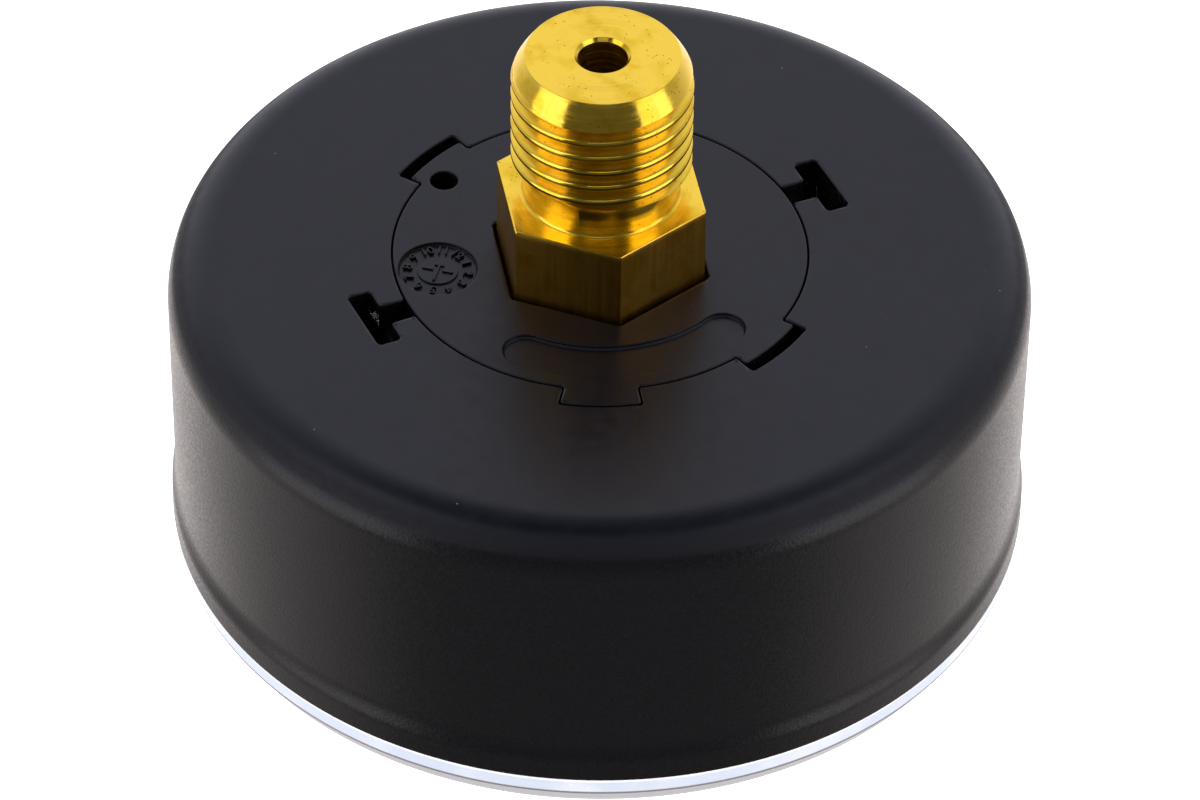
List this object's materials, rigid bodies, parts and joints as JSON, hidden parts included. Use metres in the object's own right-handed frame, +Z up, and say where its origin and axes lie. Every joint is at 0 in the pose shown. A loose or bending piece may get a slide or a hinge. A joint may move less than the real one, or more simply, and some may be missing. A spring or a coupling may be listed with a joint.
{
  "type": "pressure gauge",
  "caption": "Round dial pressure gauge with a threaded stem at the centre of its back, a black plastic case and a clear front window.",
  "frame": {"origin": "centre of the window's front face, which is the lowest face: the gauge lies face down as in the picture", "axes": "+Z up the threaded stem, -Y towards 12 o'clock of the dial, +X to the right seen from the front with 12 o'clock up"},
  "size_m": [0.0636, 0.0636, 0.0444],
  "materials": {
    "black_case": "fine spark-eroded grain on the side, smoother on the back",
    "black_insert": "satin moulded back face",
    "clear_window": "clear polycarbonate, polished",
    "turned_brass": "bright turned and threaded",
    "tube_bronze": "drawn tube, satin",
    "plate_brass": "stamped, satin",
    "arbor_steel": "turned and polished",
    "screw_steel": "zinc plated",
    "hair_bronze": "rolled wire, bright",
    "dial_white": "white paint, matt",
    "pointer_black": "black paint, satin"
  },
  "bodies": {
    "housing": {"case": "black_case", "rear_insert": "black_insert", "window": "clear_window", "socket": "turned_brass", "bourdon_tube": "tube_bronze", "movement_back_plate": "plate_brass", "movement_front_plate": "plate_brass", "movement_pillars": "plate_brass", "plate_screws": "screw_steel", "movement_screws": "screw_steel", "insert_screws": "screw_steel", "hairspring": "hair_bronze", "hairspring_stud": "plate_brass", "dial": "dial_white", "dial_posts": "plate_brass", "dial_screws": "screw_steel", "pointer_stop_pin": "arbor_steel"},
    "sector": {"sector_gear": "plate_brass", "sector_arbor": "arbor_steel", "tail_pin": "arbor_steel"},
    "pointer": {"pointer_arbor": "arbor_steel", "hairspring_collet": "plate_brass", "pointer": "pointer_black", "pointer_hub": "pointer_black"},
    "tube_end": {"tube_tip": "plate_brass", "tip_pin": "arbor_steel"},
    "link": {"link": "plate_brass"}
  },
  "joints": [
    {"name": "sector_turn", "type": "hinge", "parent": "housing", "child": "sector", "pos_m": [0.00933, 0.00933, 0.0094], "axis": [0, 0, -1], "range_deg": [0, 27], "stiffness_Nm_per_rad": 0.02},
    {"name": "pointer_turn", "type": "hinge", "parent": "housing", "child": "pointer", "pos_m": [0, 0, 0.0094], "axis": [0, 0, 1], "range_deg": [0, 270], "deforming": ["hairspring"]},
    {"name": "tube_flex", "type": "hinge", "parent": "housing", "child": "tube_end", "pos_m": [-0.0042, -0.00458, 0.0094], "axis": [0, 0, -1], "range_deg": [0, 6.3], "deforming": ["bourdon_tube"]},
    {"name": "link_turn", "type": "hinge", "parent": "sector", "child": "link", "pos_m": [0.0137, 0.01079, 0.0086], "axis": [0, 0, -1], "range_deg": [-27, 0]}
  ],
  "couplings": [
    {"joint": "pointer_turn", "follows": "sector_turn", "ratio": 10},
    {"joint": "tube_flex", "follows": "sector_turn", "ratio": 0.2318},
    {"joint": "link_turn", "follows": "sector_turn", "ratio": -1}
  ]
}
